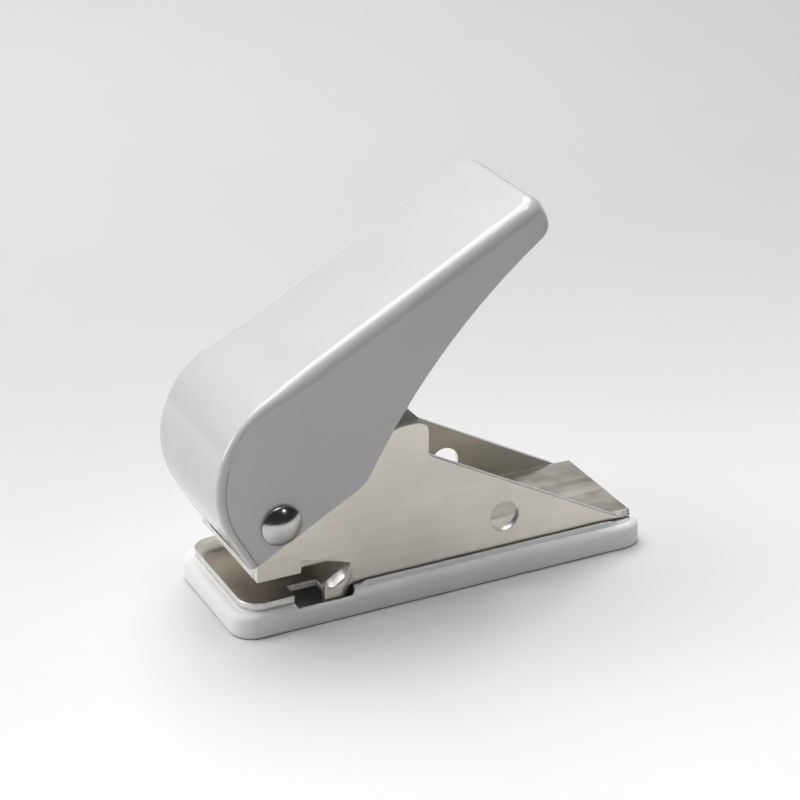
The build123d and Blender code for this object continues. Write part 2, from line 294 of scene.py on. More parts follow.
def make(name, work, body, node, materials, sharp=35):
    """Turns a bmesh in millimetres into a piece that rides on a body and stands for a CAD node."""
    bmesh.ops.recalc_face_normals(work, faces=work.faces)
    bmesh.ops.scale(work, verts=work.verts, vec=(MM, MM, MM))
    mesh = bpy.data.meshes.new(name)
    work.to_mesh(mesh)
    work.free()
    for polygon in mesh.polygons:
        polygon.use_smooth = True
    mesh.set_sharp_from_angle(angle=radians(sharp))
    for material in materials:
        mesh.materials.append(material)
    piece = bpy.data.objects.new(name, mesh)
    bpy.context.scene.collection.objects.link(piece)
    modifier = piece.modifiers.new("flat faces stay flat", "WEIGHTED_NORMAL")
    modifier.keep_sharp = True
    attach(piece, body)
    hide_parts(node)
    return piece


# ---- Materials ----

class Finish:
    """A material under construction. Scales are per metre, because shapes are in metres."""

    def __init__(self, name, **sockets):
        self.material = bpy.data.materials.new(name)
        self.material.use_nodes = True
        self.tree = self.material.node_tree
        self.shader = self.tree.nodes["Principled BSDF"]
        for socket, value in sockets.items():
            self.shader.inputs[socket.replace("_", " ")].default_value = value
        self.place = self.tree.nodes.new("ShaderNodeTexCoord").outputs["Object"]

    def add(self, kind, **inputs):
        """New node. An input is a plain value, or another node's output to link."""
        node = self.tree.nodes.new(kind)
        for name, value in inputs.items():
            socket = node.inputs[name.replace("_", " ")]
            if isinstance(value, bpy.types.NodeSocket):
                self.tree.links.new(value, socket)
            else:
                socket.default_value = value
        return node

    def noise(self, scale, stretch=(1, 1, 1), detail=3.0):
        """Noise from 0 to 1. A small stretch value draws it out along that axis."""
        mapping = self.add("ShaderNodeMapping", Vector=self.place, Scale=stretch)
        return self.add("ShaderNodeTexNoise", Vector=mapping.outputs["Vector"], Scale=scale,
                        Detail=detail).outputs["Fac"]

    def cells(self, scale):
        """Grey value that changes from one crystal to the next."""
        voronoi = self.add("ShaderNodeTexVoronoi", Vector=self.place, Scale=scale)
        return self.add("ShaderNodeSeparateColor", Color=voronoi.outputs["Color"]).outputs["Red"]

    def span(self, value, low, high, start=0.3, end=0.7):
        """Maps a value from start..end to low..high."""
        return self.add("ShaderNodeMapRange", Value=value, From_Min=start, From_Max=end,
                        To_Min=low, To_Max=high).outputs["Result"]

    def sum(self, first, second):
        """Adds two values."""
        node = self.add("ShaderNodeMath")
        node.operation = "ADD"
        self.tree.links.new(first, node.inputs[0])
        self.tree.links.new(second, node.inputs[1])
        return node.outputs[0]

    def colour(self, value, first, second, start=0.3, end=0.7):
        """Base colour that goes from first to second as value goes from start to end."""
        ramp = self.tree.nodes.new("ShaderNodeValToRGB")
        ramp.color_ramp.elements[0].position = start
        ramp.color_ramp.elements[0].color = (*first, 1)
        ramp.color_ramp.elements[1].position = end
        ramp.color_ramp.elements[1].color = (*second, 1)
        self.tree.links.new(value, ramp.inputs["Fac"])
        self.tree.links.new(ramp.outputs["Color"], self.shader.inputs["Base Color"])

    def roughness(self, value):
        """Links the roughness."""
        self.tree.links.new(value, self.shader.inputs["Roughness"])

    def bump(self, *layers):
        """Bump from (height, depth in metres, strength) layers."""
        normal = None
        for height, depth, strength in layers:
            node = self.add("ShaderNodeBump", Height=height, Distance=depth, Strength=strength)
            if normal:
                self.tree.links.new(normal, node.inputs["Normal"])
            normal = node.outputs["Normal"]
        self.tree.links.new(normal, self.shader.inputs["Normal"])


def lever_paint():
    """White stoved enamel: glossy, with a faint orange peel and slow waves of the pressed sheet."""
    look = Finish("white enamel", Coat_Weight=0.35, Coat_Roughness=0.04, IOR=1.5)
    clouds = look.noise(38)
    look.colour(clouds, (0.55, 0.547, 0.56), (0.585, 0.582, 0.595))
    look.roughness(look.span(look.noise(140), 0.17, 0.27))
    look.bump((look.noise(30, detail=1.0), 0.00025, 0.18), (look.noise(620, detail=2.0), 0.00002, 0.25))
    return look.material


def thin_enamel_painted_highlight():
    """The same enamel on a cut edge, where it runs thin and rougher; its lighter colour is a painted
    highlight along the edge.
    """
    look = Finish("thin enamel, painted highlight", Coat_Weight=0.15, Coat_Roughness=0.12)
    # Lighter than the enamel's faces: a painted highlight along the cut edge.
    look.colour(look.noise(900), (0.55, 0.545, 0.55), (0.72, 0.715, 0.72))
    look.roughness(look.span(look.noise(500), 0.28, 0.45))
    look.bump((look.noise(1500), 0.00003, 0.4))
    return look.material


def nickel(name, first, second, rough):
    """Satin nickel plate over sheet rolled along X."""
    look = Finish(name, Metallic=1.0)
    rolled = look.noise(60, (0.35, 12, 12), 3.0)
    clouds = look.noise(45, (0.6, 1, 1))
    look.colour(look.sum(look.span(rolled, 0, 0.2), look.span(clouds, 0, 0.8)), first, second, 0.2, 0.8)
    streaks = look.span(rolled, rough - 0.03, rough + 0.03)
    look.roughness(look.sum(streaks, look.span(look.noise(210), -0.03, 0.03)))
    look.bump((rolled, 0.000004, 0.06), (look.noise(55, detail=1.0), 0.00012, 0.16))
    return look.material


def sheared_steel():
    """Plated cut edge: bright where the punch burnished it, with torn grain across."""
    look = Finish("sheared edge", Metallic=1.0)
    grain = look.noise(1500, (1, 1, 0.5), 4.0)
    look.colour(grain, (0.66, 0.64, 0.61), (0.88, 0.87, 0.85))
    look.roughness(look.span(look.noise(900), 0.40, 0.54))
    look.bump((grain, 0.00001, 0.08))
    return look.material


def bright_rivet():
    """Polished nickel on a cold-headed rivet."""
    look = Finish("bright nickel", Metallic=1.0)
    look.colour(look.noise(260), (0.46, 0.455, 0.44), (0.56, 0.555, 0.54))
    look.roughness(look.span(look.noise(700), 0.13, 0.22))
    look.bump((look.noise(240, detail=1.0), 0.00006, 0.18), (look.noise(2400), 0.000005, 0.2))
    return look.material


def foot_plastic():
    """Light grey moulded plastic with a fine eroded grain."""
    look = Finish("grey moulding", IOR=1.5)
    look.colour(look.noise(55), (0.84, 0.84, 0.85), (0.88, 0.88, 0.89))
    look.roughness(look.span(look.noise(800), 0.36, 0.52))
    look.bump((look.noise(2600, detail=4.0), 0.00003, 0.3), (look.noise(70, detail=1.0), 0.00012, 0.05))
    return look.material


def ground_steel():
    """Hardened steel with grinding marks round the pin's axis."""
    look = Finish("ground steel", Metallic=1.0)
    marks = look.noise(300, (0.6, 0.6, 9), 4.0)
    look.colour(marks, (0.30, 0.30, 0.31), (0.42, 0.42, 0.43))
    look.roughness(look.span(marks, 0.2, 0.34))
    look.bump((marks, 0.000008, 0.3))
    return look.material


def zinc_plate():
    """Bright zinc on small pressed pieces, with a fine spangle."""
    look = Finish("bright zinc", Metallic=1.0)
    look.colour(look.cells(900), (0.56, 0.58, 0.61), (0.66, 0.68, 0.70), 0, 1)
    look.roughness(look.span(look.noise(500), 0.26, 0.44))
    look.bump((look.noise(1100, detail=4.0), 0.00001, 0.3))
    return look.material


def spring_wire():
    """Oil-tempered wire with drawing lines."""
    look = Finish("spring wire", Metallic=1.0)
    look.colour(look.noise(1600), (0.34, 0.33, 0.31), (0.50, 0.49, 0.47))
    look.roughness(look.span(look.noise(1200), 0.24, 0.4))
    look.bump((look.noise(3500), 0.000006, 0.35))
    return look.material


def floor_finish():
    """Matt white sweep."""
    look = Finish("floor")
    look.colour(look.noise(4), (0.66, 0.66, 0.665), (0.68, 0.68, 0.685))
    look.roughness(look.span(look.noise(30), 0.6, 0.75))
    return look.material


ENAMEL = lever_paint()
# Enamel of the lever's cut edge, lighter as a painted highlight.
EDGE_ENAMEL_PAINTED_HIGHLIGHT = thin_enamel_painted_highlight()
CHASSIS_NICKEL = nickel("satin nickel", (0.60, 0.57, 0.51), (0.72, 0.685, 0.615), 0.33)
# A browner copy of the chassis nickel: its warm tint is painted reflection of light bounced between the
# nickel faces between the cheeks.
GUIDE_NICKEL_PAINTED_BOUNCE = nickel("guide nickel, painted bounce tint", (0.60, 0.55, 0.49), (0.72, 0.67, 0.60), 0.38)
CUT_STEEL = sheared_steel()
RIVET = bright_rivet()
PLASTIC = foot_plastic()
GROUND = ground_steel()
ZINC = zinc_plate()
WIRE = spring_wire()


# ---- Foot ----

def notch_share(x):
    """How far x is into the notch of the long rims, from 0 outside it to 1. Its ends slope."""
    return min(ramp(x, NOTCH_FRONT - 1.2, NOTCH_FRONT + 0.4), ramp(x, NOTCH_REAR + 0.9, NOTCH_REAR - 1.7))


def foot_point(x, y, side, inset, z):
    """Point of the foot's skin on a long side. In a notch the wall is thin and low, with a rounded top."""
    share = notch_share(x)
    if z > RIM_TOP + SEAT_LIP + 0.02 and inset < BEAD_INNER + 0.01:
        z += BEAD_RISE * ramp(x, NOTCH_REAR + 0.9, NOTCH_REAR + 2.3) * ramp(x, BEAD_REAR, BEAD_REAR - 2.5)
    outer = 0.7
    crown_width = 0.85
    crown_drop = 0.9
    if inset > outer:
        squeeze = (NOTCH_WALL - outer) / (POCKET_WALL - outer)
        thin = outer + (inset - outer) * squeeze
        recess = ramp(share, 0.25, 0.75)
        y += side * (inset - thin) * recess
        inset = thin + (inset - thin) * (1 - recess)
    crown = NOTCH_TOP + 0.1 - crown_drop * max(1 - inset / crown_width, 0) ** 2
    cut = CLEAR_HEIGHT - (CLEAR_HEIGHT - crown) * share
    return Vector((x, y, min(z, cut)))


def foot_ring(inset, z):
    """Points round the foot, inset from its side, at height z."""
    half_x = FOOT_HIGH.x - inset
    half_y = FOOT_HIGH.y - inset
    radius = max(FOOT_CORNER - inset, 0.8)
    straight = FOOT_HIGH.x - FOOT_CORNER - 1
    notch = spread(NOTCH_FRONT - 2.4, NOTCH_REAR + 2.4, 72)
    along = [-straight] + notch
    along += spread(NOTCH_REAR + 8, BEAD_REAR - 4, 5) + spread(BEAD_REAR - 3, straight, 6)
    arc = 12
    ring = []
    for quarter, (sx, sy) in enumerate(((1, 1), (-1, 1), (-1, -1), (1, -1))):
        centre = Vector((sx * (half_x - radius), sy * (half_y - radius)))
        for k in range(arc + 1):
            angle = (quarter + k / arc) * pi / 2
            ring.append(Vector((centre.x + radius * cos(angle), centre.y + radius * sin(angle), z)))
        if quarter == 0:
            ring += [foot_point(x, half_y, 1, inset, z) for x in reversed(along)]
        if quarter == 2:
            ring += [foot_point(x, -half_y, -1, inset, z) for x in along]
    return ring


def make_foot():
    """Moulded foot: rounded outside, flat rim, raised seat and a pocket for the chips."""
    bottom = 0.8
    top = 1.7
    draft = 0.12
    lip = SEAT_LIP
    seat_out = POCKET_WALL - 1.8
    skin = [(bottom - bottom * sin(a), bottom - bottom * cos(a)) for a in spread(0, pi / 2, 6)]
    skin.append((draft / 2, 2.4))
    skin += [(draft + top - top * cos(a), RIM_TOP - top + top * sin(a)) for a in spread(0, pi / 2, 10)]
    skin += [(seat_out - lip, RIM_TOP), (seat_out, RIM_TOP + lip), (seat_out, SEAT_TOP - lip),
             (seat_out + lip, SEAT_TOP), (BEAD_INNER - 0.1, SEAT_TOP), (BEAD_INNER, SEAT_TOP - 0.1),
             (BEAD_INNER + 0.05, SEAT_TOP), (POCKET_WALL - 0.2, SEAT_TOP), (POCKET_WALL, SEAT_TOP - 0.2),
             (POCKET_WALL, 4.4), (POCKET_WALL, 4.0), (POCKET_WALL, POCKET_FLOOR + 0.6),
             (POCKET_WALL + 0.2, POCKET_FLOOR + 0.2), (POCKET_WALL + 0.6, POCKET_FLOOR)]
    work = bmesh.new()
    rings = [[work.verts.new(point) for point in foot_ring(inset, z)] for inset, z in skin]
    count = len(rings[0])
    for lower, upper in zip(rings, rings[1:]):
        for k in range(count):
            work.faces.new((lower[k], lower[(k + 1) % count], upper[(k + 1) % count], upper[k]))
    work.faces.new(rings[0])
    work.faces.new(rings[-1])
    bmesh.ops.remove_doubles(work, verts=work.verts, dist=1e-4)
    return make("foot", work, "base", "base_tray", [PLASTIC], sharp=50)


# ---- Chassis ----

FLAT_HALF = CHEEK_OUTER - BEND_OUTER
BEND_MIDDLE = BEND_OUTER - SHEET / 2
BEND_LENGTH = BEND_MIDDLE * pi / 2
BEND_END = FLAT_HALF + BEND_LENGTH
CHEEK_START = FLOOR_LOW + BEND_OUTER
TOP_BEND = BEND_END + BRIDGE_TOP - BEND_OUTER - CHEEK_START
TOP_BEND_END = TOP_BEND + BEND_LENGTH


def across(z):
    """Distance across the flat blank, from its middle, of a point on a cheek at height z."""
    return BEND_END + z - CHEEK_START


def fold(p):
    """From the blank (x, distance across, depth into the sheet) to the folded chassis."""
    side = 1 if p.y >= 0 else -1
    w = abs(p.y)
    radius = BEND_OUTER - p.z
    if w <= FLAT_HALF or (p.x < THROAT_BACK - 0.1 and w < TRAY_HALF + 0.5):
        return Vector((p.x, p.y, FLOOR_LOW + p.z))
    if w <= BEND_END:
        angle = (w - FLAT_HALF) / BEND_MIDDLE
        return Vector((p.x, side * (FLAT_HALF + radius * sin(angle)), CHEEK_START - radius * cos(angle)))
    if w <= TOP_BEND or side < 0:
        return Vector((p.x, side * (CHEEK_OUTER - p.z), CHEEK_START + w - BEND_END))
    if w <= TOP_BEND_END:
        angle = (w - TOP_BEND) / BEND_MIDDLE
        return Vector((p.x, FLAT_HALF + radius * cos(angle), BRIDGE_TOP - BEND_OUTER + radius * sin(angle)))
    return Vector((p.x, FLAT_HALF - (w - TOP_BEND_END), BRIDGE_TOP - p.z))


def push_knee(p):
    """Pushes the foot of each cheek out and down behind the foot's rim, and flares its upper lip."""
    s = p.x - FRONT
    if p.x < THROAT_BACK - 0.1 or s > KNEE_REAR:
        return p
    reach = abs(p.y)
    along = ramp(s, KNEE_REAR, KNEE_REAR - 4.2)
    wall = along * ramp(p.z, 13.0, 8.5) * ramp(reach, 11.0, 13.5)
    lip = ramp(p.z, 7.4, 8.7) * ramp(p.z, 12.4, 11.0) * ramp(reach, CHEEK_OUTER - SHEET, CHEEK_OUTER)
    lip *= ramp(s, 19.6, 22.0) * ramp(s, 26.9, 24.3)
    skirt = along * ramp(reach, 12.9, 13.8) * ramp(p.z, 7.9, 6.6)
    side = 1 if p.y > 0 else -1
    out = KNEE_PUSH * wall + LIP_FLARE * lip
    return p + Vector((0, side * out, -LIP_DROP * lip - SKIRT_DROP * skirt))


def blank_side(bridge):
    """Half of the blank's outline, from the front to the rear, as (x, distance across, radius)."""
    ear_front = FRONT + 38.5
    ear_rear = FRONT + 45.0
    to_ear = Vector((ear_front - PIVOT[0], EAR_TOP - PIVOT[1]))
    tangent = atan2(to_ear.y, to_ear.x) + acos(BOSS / to_ear.length)
    meets_jaw = 2 * pi - acos((JAW_FRONT - PIVOT[0]) / BOSS)
    boss = [(PIVOT[0] + BOSS * cos(a), across(PIVOT[1] + BOSS * sin(a)), 0)
            for a in spread(meets_jaw, tangent, 30)]
    side = [
        (FRONT + 2.0, TRAY_HALF, 4.5),
        (FRONT + 13.3, TRAY_HALF, 0.5),
        (FRONT + 13.3, 11.4, 0.5),
        (THROAT_BACK, 11.4, 0.4),
        (THROAT_BACK, across(8.2), 0.3),
        (FRONT + 26.9, across(11.7), 0.25),
        (FRONT + 15.4, across(14.8), 0.3),
        (FRONT + 15.2, across(JAW_UNDERSIDE), 0.3),
        (JAW_FRONT, across(JAW_UNDERSIDE), 0.3),
        *boss,
    ]
    if bridge:
        free_end = TOP_BEND_END + FLAT_HALF + CHEEK_OUTER - SHEET - BRIDGE_SEAM
        side += [
            (FRONT + 36.0, across(40.0), 1.0),
            (FRONT + 37.0, TOP_BEND, 0.4),
            (FRONT + 37.0, free_end, 0.6),
            (FRONT + 43.9, free_end, 0.6),
            (FRONT + 43.9, TOP_BEND, 0.4),
            (ear_rear, TOP_BEND - 0.6, 0.8),
        ]
    else:
        side += [(ear_front, across(EAR_TOP), 3.0), (ear_rear, across(EAR_TOP), 2.8)]
    side += [
        (ear_rear, across(33.0), 1.0),
        (FRONT + 92.0, 14.4, 1.0),
        (FRONT + 96.0, 14.0, 0.6),
    ]
    return side


def make_chassis():
    """The folded sheet: blank cut out, folded, and its knees pushed out."""
    far = blank_side(True)
    near = [(x, -w, radius) for x, w, radius in reversed(blank_side(False))]
    holes = [circle(PUNCH_X, 0, DIE_RADIUS)]
    for side in (-1, 1):
        holes.append(circle(CHEEK_HOLE[0], side * across(CHEEK_HOLE[1]), CHEEK_HOLE[2], 64))
        holes.append(circle(PIVOT[0], side * across(PIVOT[1]), PIVOT_HOLE))
    work = plate([rounded(far + near), *holes], 0, SHEET)
    bends = spread(FLAT_HALF, BEND_END, 10)
    knees = spread(10.0, across(13.0), 30)
    top = spread(TOP_BEND, TOP_BEND_END, 8)
    slice_along(work, 1, sorted(set(bends + knees + top)))
    slice_along(work, 1, sorted({-w for w in bends + knees}))
    slice_along(work, 0, spread(THROAT_BACK, FRONT + 28.0, 26))
    place(work, fold)
    place(work, push_knee)
    return make("chassis", work, "chassis", "chassis_frame", [CHASSIS_NICKEL, CUT_STEEL], 70)


def make_guide():
    """Folded channel between the cheeks. Its floor is the upper jaw."""
    half = CHEEK_OUTER - SHEET - 0.05
    top = 19.0
    inner = half - GUIDE_SHEET
    floor = JAW_UNDERSIDE + GUIDE_SHEET
    section = rounded([
        (-half, JAW_UNDERSIDE, 0.7), (half, JAW_UNDERSIDE, 0.7), (half, top, 0.25), (inner, top, 0.25),
        (inner, floor, 2.0), (-inner, floor, 2.0), (-inner, top, 0.25), (-half, top, 0.25),
    ])
    work = plate([section], JAW_FRONT, FRONT + 23.0, 0.15)
    for face in work.faces:
        face.material_index = 1 - face.material_index
    place(work, lambda p: Vector((p.z, p.x, p.y)))
    above = floor + 3
    work = bore(work, place(lathe([(0, 0), (PIN_BORE, 0), (PIN_BORE, above), (0, above)]), on_pin))
    return make("guide", work, "chassis", "punch_guide", [GUIDE_NICKEL_PAINTED_BOUNCE, CUT_STEEL])


def make_die():
    """Hardened ring in the floor, countersunk a little at its cutting edge."""
    low = FLOOR_LOW
    profile = [(DIE_RADIUS, low), (DIE_RADIUS, low + SHEET - 0.1), (DIE_RADIUS - 0.1, low + SHEET),
               (PIN_BORE + 0.05, low + SHEET), (PIN_BORE, low + SHEET - 0.05), (PIN_BORE, low + 0.8),
               (PIN_BORE + 0.34, low + 0.8), (PIN_BORE + 0.34, low)]
    return make("die", place(lathe(profile), on_pin), "chassis", "die_ring", [GROUND])


# ---- Pivot ----

def make_pivot():
    """Rivet with a domed head near, its shank, a formed end and a washer far, and the spacer tube."""
    seat = LEVER_HALF + 0.1
    head = 2.4
    rim = 0.5
    shank = 2.4
    washer = 0.8
    profile = [(shank, seat + washer), (3.5, seat + washer), (3.72, seat + washer + 0.15),
               *arc_profile(3.72, seat + washer + 0.3, seat + washer + 1.5)]
    near = [(shank, -seat), (4.35, -seat), (4.5, -seat - 0.12), (4.5, -seat - rim)]
    near += [(radius, -z) for radius, z in arc_profile(4.42, seat + rim + 0.1, seat + head, 16)]
    rivet = place(lathe(list(reversed(near)) + profile), across_pivot)
    make("rivet", rivet, "chassis", "pivot_rivet", [RIVET], 40)
    ring = lathe(ring_profile(4.9, PIVOT_HOLE, seat, seat + washer))
    make("washer", place(ring, across_pivot), "chassis", "rivet_washer", [ZINC])
    half = CHEEK_OUTER - SHEET
    tube = lathe(ring_profile(3.2, PIVOT_HOLE, -half, half, 0.2))
    make("spacer", place(tube, across_pivot), "chassis", "spacer_tube", [ZINC])


# ---- Pin ----

def make_pin():
    """Pin with its clip's groove and a hollow ground into its cutting end."""
    groove = PIN_RADIUS - 0.5
    hollow = 0.35
    profile = [(0, PIN_POINT + hollow), (1.0, PIN_POINT + hollow * 0.75), (PIN_RADIUS - 0.04, PIN_POINT),
               (PIN_RADIUS, PIN_POINT + 0.04), (PIN_RADIUS, CLIP_TOP - CLIP_THICKNESS),
               (groove, CLIP_TOP - CLIP_THICKNESS), (groove, CLIP_TOP), (PIN_RADIUS, CLIP_TOP),
               (PIN_RADIUS, PIN_TOP - 0.3), (PIN_RADIUS - 0.3, PIN_TOP), (0, PIN_TOP)]
    return make("pin", place(lathe(profile), on_pin), "punch", "punch_pin", [GROUND])


def make_clip():
    """E-clip in the pin's groove, open towards the rear."""
    outer, inner, mouth = 3.4, PIN_RADIUS - 0.5, 1.1
    start = acos((outer ** 2 - mouth ** 2) ** 0.5 / outer)
    turn = acos((inner ** 2 - mouth ** 2) ** 0.5 / inner)
    outline = [Vector((outer * cos(a), outer * sin(a))) for a in spread(start, 2 * pi - start, 48)]
    outline += [Vector((inner * cos(a), inner * sin(a))) for a in spread(2 * pi - turn, turn, 32)]
    windows = [circle(2.4 * cos(radians(a)), 2.4 * sin(radians(a)), 0.45, 20) for a in (60, 180, 300)]
    work = plate([outline, *windows], CLIP_TOP - CLIP_THICKNESS, CLIP_TOP, 0.06)
    return make("clip", place(work, on_pin), "punch", "retaining_clip", [ZINC, CUT_STEEL])


def make_pin_washers():
    """Washers above and below the spring."""
    upper = lathe(ring_profile(3.6, PIN_RADIUS + 0.1, SPRING_TOP, CLIP_TOP - CLIP_THICKNESS))
    make("spring_cap", place(upper, on_pin), "punch", "spring_washer", [ZINC])
    lower = lathe(ring_profile(3.6, PIN_RADIUS + 0.15, SPRING_FOOT - 0.5, SPRING_FOOT))
    make("spring_seat", place(lower, on_pin), "chassis", "seat_washer", [ZINC])


def make_spring():
    """Coil spring with closed end turns."""
    coil, wire = 2.95, 0.3
    turns, steps, sides = 5.0, 36, 12
    low, high = SPRING_FOOT + wire, SPRING_TOP - wire
    work = bmesh.new()
    rings = []
    for k in range(int(turns * steps) + 1):
        angle = 2 * pi * k / steps
        linear = k / steps / turns
        share = ramp(linear, 0.06, 0.94)
        centre = Vector((coil * cos(angle), coil * sin(angle), low + (high - low) * (share + linear) / 2))
        out = Vector((cos(angle), sin(angle), 0))
        up = Vector((0, 0, 1))
        rings.append([work.verts.new(centre + wire * (cos(t) * out + sin(t) * up))
                      for t in spread(0, 2 * pi, sides)[:-1]])
    for a, b in zip(rings, rings[1:]):
        for k in range(sides):
            work.faces.new((a[k], a[(k + 1) % sides], b[(k + 1) % sides], b[k]))
    work.faces.new(rings[0])
    work.faces.new(rings[-1])
    spring = make("spring", place(work, on_pin), "punch", "return_spring", [WIRE], 60)
    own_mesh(spring)


# ---- Lever ----

BELLY = [
    (2.0, FOOT_V, 0),
    (19.6, FOOT_V + 0.1, 7.0),
    (47.4, 13.0, 140.0),
    (REAR_U, 18.3, 3.5),
    (REAR_U, TOP_V, 0),
]
UP = Vector((0, 0, 1))
HALF_COLUMNS = [9.5, 7.2, 6.5, 6.2, 5.9, 5.6, 5.2, 3.0]  # lines along the top, by their distance across
NOSE_ROWS = 8  # rows of the nose's straight front
NOSE_NOTCH = 2.4
WALL_ROWS = 9


class SheetPoint:
    """A point on the outside of the lever's sheet, with its normal and the depth of a dent there."""

    def __init__(self, place, normal, dent=0.0):
        self.place = place
        self.normal = normal
        self.dent = dent
        self.outward = Vector()  # along the sheet, out over its cut edge; zero away from an edge


def walk(points, count):
    """Points evenly spaced along a polyline, count steps."""
    lengths = [0]
    for a, b in zip(points, points[1:]):
        lengths.append(lengths[-1] + (b - a).length)
    result = []
    j = 0
    for target in spread(0, lengths[-1], count):
        while j < len(points) - 2 and lengths[j + 1] < target:
            j += 1
        share = (target - lengths[j]) / (lengths[j + 1] - lengths[j])
        result.append(points[j].lerp(points[j + 1], share))
    return result


def height_at(points, u):
    """Height of a polyline at u."""
    for a, b in zip(points, points[1:]):
        if a.x <= u <= b.x and b.x > a.x:
            return a.y + (b.y - a.y) * (u - a.x) / (b.x - a.x)
    return points[-2].y


def rib(core, face, wall, radius, bottom, seam):
    """Sheet points from the top, over a rounded edge and down a wall to its foot.

    A seam is a fine groove just below the rounded edge.
    """
    over = [SheetPoint(core + radius * (cos(a) * face + sin(a) * wall), cos(a) * face + sin(a) * wall)
            for a in spread(0, pi / 2, 7)]
    start = over[-1].place
    down = (bottom - start).normalized()
    groove = [SheetPoint(start + down * step, wall, seam * depth)
              for step, depth in ((0.12, 0), (0.26, 1), (0.44, 1), (0.58, 0))]
    start = groove[-1].place
    down_wall = [SheetPoint(start.lerp(bottom, share), wall) for share in spread(0, 1, WALL_ROWS)[1:]]
    return over + groove + down_wall


def lever_stations():
    """(surface point, its normal, edge radius, seam depth) from the nose's foot back along the top."""
    stations = []
    centre = Vector((NOSE_U + NOSE_RADIUS, 0, TOP_V - NOSE_RADIUS))
    forward = Vector((-1, 0, 0))
    deep = 0.3
    seam_end = radians(122)

    def edge_at(u):
        return NOSE_EDGE + (TOP_EDGE - NOSE_EDGE) * ramp(u, 3, 25)

    for v in spread(FOOT_V, centre.z, NOSE_ROWS)[:-1]:
        stations.append((Vector((NOSE_U, 0, v)), forward, NOSE_EDGE, deep))
    for angle in spread(pi, pi / 2, 40)[:-1]:
        normal = Vector((cos(angle), 0, sin(angle)))
        surface = centre + NOSE_RADIUS * normal
        stations.append((surface, normal, edge_at(surface.x), deep * ramp(angle, seam_end, seam_end + 0.35)))
    for u in spread(centre.x, REAR_U - PLAN_CORNER, 48):
        stations.append((Vector((u, 0, TOP_V)), UP, edge_at(u), 0))
    return stations


def lever_grid(belly):
    """Rows of sheet points from one flank's foot over the top to the other's, nose to rear."""
    stations = lever_stations()
    flank_end = REAR_U - PLAN_CORNER
    flank = [point for point in belly if point.x < flank_end - 0.2]
    flank.append(Vector((flank_end, height_at(belly, flank_end))))
    lower = walk(flank, len(stations) - 1)
    columns = HALF_COLUMNS + [0.0] + [-y for y in reversed(HALF_COLUMNS)]
    grid = []
    for i, ((surface, face, radius, seam), low) in enumerate(zip(stations, lower)):
        sides = []
        for sign in (-1, 1):
            core = surface - radius * face
            core.y = sign * (LEVER_HALF - radius)
            wall = Vector((0, sign, 0))
            sides.append(rib(core, face, wall, radius, Vector((low.x, sign * LEVER_HALF, low.y)), seam))
        middle = []
        for y in columns:
            notch = NOSE_NOTCH * ramp(abs(y), 6.5, 5.2) * max(1 - i / NOSE_ROWS, 0)
            middle.append(SheetPoint(Vector((surface.x, -y, surface.z + notch)), face))
        grid.append(sides[0][::-1] + middle + sides[1])
    return grid


def lever_rear(grid, belly):
    """Ribs round the rear, from the near flank's last rib to the far flank's."""
    middle = 2 * len(HALF_COLUMNS) + 1
    side = (len(grid[0]) - middle) // 2
    corner = Vector((REAR_U - PLAN_CORNER, LEVER_HALF - PLAN_CORNER, 0))
    backward = Vector((1, 0, 0))
    centres = [(Vector((corner.x, -corner.y, 0)), Vector((sin(a), -cos(a), 0)))
               for a in spread(0, pi / 2, 12)[1:]]
    centres += [(Vector((corner.x, y, 0)), backward) for y in (-7.5, -3.5, 0, 3.5, 7.5)]
    centres += [(Vector((corner.x, corner.y, 0)), Vector((sin(a), cos(a), 0)))
                for a in spread(pi / 2, 0, 12)[:-1]]
    ribs = [grid[-1][:side][::-1]]
    for centre, wall in centres:
        edge = centre + PLAN_CORNER * wall
        core = centre + (PLAN_CORNER - TOP_EDGE) * wall + UP * (TOP_V - TOP_EDGE)
        bottom = Vector((edge.x, edge.y, height_at(belly, edge.x)))
        ribs.append(rib(core, UP, wall, TOP_EDGE, bottom, 0))
    ribs.append(grid[-1][-side:])
    return ribs, side


def find_outward(border):
    """Gives each point of the closed border its direction out over the cut edge."""
    count = len(border)
    for k, point in enumerate(border):
        tangent = border[(k + 1) % count].place - border[k - 1].place
        point.outward = tangent.cross(point.normal).normalized()


